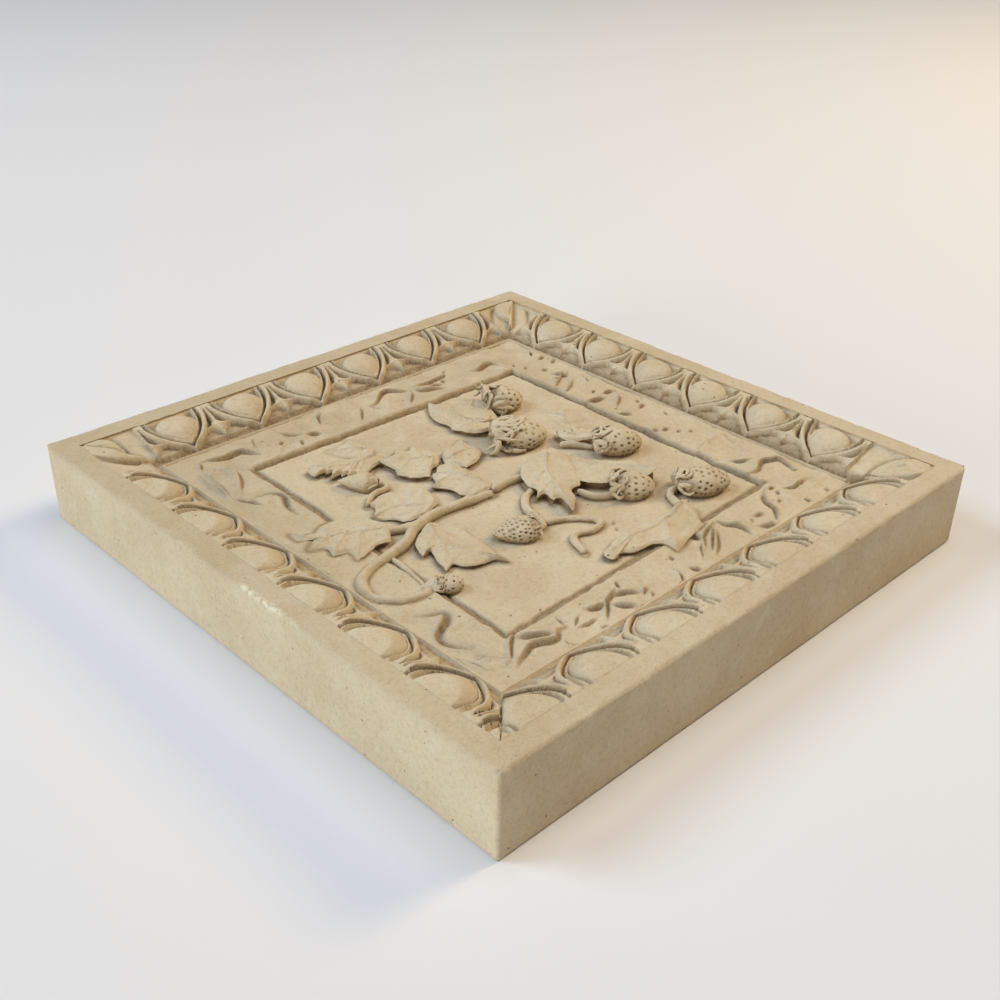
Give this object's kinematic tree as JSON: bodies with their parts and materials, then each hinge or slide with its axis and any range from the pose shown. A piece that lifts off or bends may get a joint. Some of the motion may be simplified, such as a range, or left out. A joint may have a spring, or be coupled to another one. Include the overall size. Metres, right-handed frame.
{
  "type": "relief wall tile",
  "caption": "Square cast stone wall tile with an egg-and-dart border around a sunk panel that holds a fruiting strawberry plant in high relief.",
  "frame": {"origin": "centre of the flat back, which is the face that goes against the wall", "axes": "+Z out of the back through the carved face, X and Y along the sides of the square; the fruit of the largest berry points towards +X"},
  "size_m": [0.2, 0.2, 0.0261],
  "materials": {
    "cast_stone": "matt, warm cream, sandy grain with small casting pinholes, browner in the recesses"
  },
  "bodies": {
    "root": {"relief_tile": "cast_stone"}
  },
  "joints": []
}
